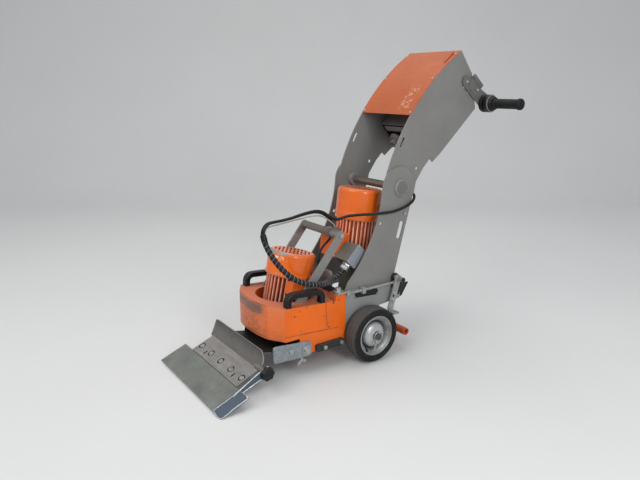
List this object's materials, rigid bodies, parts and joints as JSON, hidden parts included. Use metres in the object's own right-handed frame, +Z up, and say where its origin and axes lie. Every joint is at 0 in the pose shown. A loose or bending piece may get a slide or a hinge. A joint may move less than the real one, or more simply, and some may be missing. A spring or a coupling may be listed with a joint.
{
  "type": "walk-behind floor scraper",
  "caption": "Self-propelled floor scraper with a guarded oscillating blade, ballast over its motor, tilting console, side grips and rubber-tyred drive wheels.",
  "frame": {"origin": "centre of the footprint, on the floor", "axes": "+X to the right-hand side seen in the picture, +Y towards the operator, +Z up"},
  "size_m": [0.632, 1.2329, 1.0763],
  "materials": {
    "grey_paint": "satin grey paint",
    "orange_paint": "worn orange paint",
    "galvanised": "dull zinc",
    "bright_steel": "bare steel",
    "rim_metal": "dull cast",
    "tyre": "dusty rubber",
    "black_plastic": "matte black",
    "grey_plastic": "matte grey",
    "grip_rubber": "matte black rubber",
    "cable_black": "black sheath",
    "cable_light": "light grey sheath",
    "black_steel": "black paint",
    "bronze": "bronze",
    "red_plastic": "glossy red",
    "green_plastic": "glossy green"
  },
  "bodies": {
    "chassis": {"chassis_plates": "grey_paint", "cross_walls": "grey_paint", "column_plates": "grey_paint", "column_braces": "grey_paint", "pivot_caps": "grey_paint", "lift_bow": "grey_paint", "gearbox_housing": "grey_paint", "terminal_box": "grey_paint", "terminal_lid": "grey_paint", "deck_frame": "orange_paint", "ballast_block": "orange_paint", "motor_pedestal": "orange_paint", "front_motor_body": "orange_paint", "front_motor_cowl": "orange_paint", "front_terminal_box": "orange_paint", "rear_motor_body": "orange_paint", "rear_motor_cowl": "orange_paint", "tilt_bar": "orange_paint", "frame_bolts": "galvanised", "side_plate": "galvanised", "pivot_shaft": "bright_steel", "axle_bearings": "bright_steel", "ballast_handles": "black_plastic", "cable_fittings": "black_plastic", "wrapped_cable": "cable_black", "motor_cable": "cable_black", "console_cable": "cable_black", "light_cable": "cable_light", "link_bars": "black_steel", "side_brackets": "black_steel", "carrier_guides": "black_steel"},
    "drive_axle": {"axle": "bright_steel", "worm_wheel": "bronze", "rims": "rim_metal", "tyres": "tyre", "lynch_pins": "bright_steel"},
    "rear_rotor": {"rear_rotor": "bright_steel", "rear_fan": "black_plastic"},
    "front_rotor": {"front_rotor": "bright_steel", "eccentric_bearing": "bright_steel", "front_fan": "black_plastic"},
    "blade_carrier": {"blade_carrier": "galvanised", "blade": "bright_steel", "clamp_bolts": "galvanised", "blade_guard": "galvanised"},
    "guard_knob": {"guard_knob": "black_plastic"},
    "console": {"console_plates": "grey_paint", "pivot_collars": "grey_paint", "console_cover": "orange_paint", "cover_screws": "galvanised", "control_panel": "grey_paint", "switch_box": "grey_plastic", "power_inlet": "black_plastic"},
    "handlebar": {"handlebar_arms": "grey_paint", "grips": "grip_rubber"},
    "stop_button": {"stop_button": "red_plastic"},
    "start_button": {"start_button": "green_plastic"},
    "drive_switch": {"drive_switch": "black_plastic"},
    "pedal_lever": {"pedal_lever": "galvanised"},
    "latch_rod": {"latch_rod": "galvanised"}
  },
  "joints": [
    {"name": "rear_rotor_spin", "type": "hinge", "parent": "chassis", "child": "rear_rotor", "pos_m": [0, 0.03375, 0.09586], "axis": [0, 0.1219, 0.9925], "continuous": true},
    {"name": "drive_axle_spin", "type": "hinge", "parent": "chassis", "child": "drive_axle", "pos_m": [0, 0, 0.1], "axis": [1, 0, 0], "continuous": true},
    {"name": "front_rotor_spin", "type": "hinge", "parent": "chassis", "child": "front_rotor", "pos_m": [0, -0.252, 0.186], "axis": [0, 0.2079, 0.9781], "continuous": true},
    {"name": "blade_stroke", "type": "slide", "parent": "chassis", "child": "blade_carrier", "axis": [0, -0.9781, 0.2079], "range_m": [-0.004, 0]},
    {"name": "guard_knob_turn", "type": "hinge", "parent": "blade_carrier", "child": "guard_knob", "pos_m": [0.2, -0.43934, 0.08123], "axis": [1, 0, 0], "continuous": true},
    {"name": "console_tilt", "type": "hinge", "parent": "chassis", "child": "console", "pos_m": [0, 0.164, 0.599], "axis": [1, 0, 0], "range_deg": [0, 75]},
    {"name": "handlebar_tilt", "type": "hinge", "parent": "console", "child": "handlebar", "pos_m": [0, 0.479, 0.967], "axis": [1, 0, 0], "range_deg": [-25, 25]},
    {"name": "stop_press", "type": "slide", "parent": "console", "child": "stop_button", "axis": [0, -0.9719, -0.2354], "range_m": [0, 0.005], "stiffness_N_per_m": 600, "springref_m": -0.001},
    {"name": "start_press", "type": "slide", "parent": "console", "child": "start_button", "axis": [0, -0.9719, -0.2354], "range_m": [0, 0.004], "stiffness_N_per_m": 400, "springref_m": -0.001},
    {"name": "drive_switch_turn", "type": "hinge", "parent": "console", "child": "drive_switch", "pos_m": [0.06, 0.52177, 0.94741], "axis": [0, 0.9719, 0.2354], "range_deg": [-45, 45]},
    {"name": "pedal_swing", "type": "hinge", "parent": "chassis", "child": "pedal_lever", "pos_m": [0.16, 0.143, 0.272], "axis": [1, 0, 0], "range_deg": [0, 20], "stiffness_Nm_per_rad": 2, "springref_deg": -8.59},
    {"name": "latch_slide", "type": "slide", "parent": "chassis", "child": "latch_rod", "axis": [0, 1, 0], "range_m": [0, 0.00558]}
  ],
  "couplings": [
    {"joint": "drive_axle_spin", "follows": "rear_rotor_spin", "ratio": 0.05},
    {"joint": "latch_slide", "follows": "pedal_swing", "m_per_rad": 0.016}
  ]
}
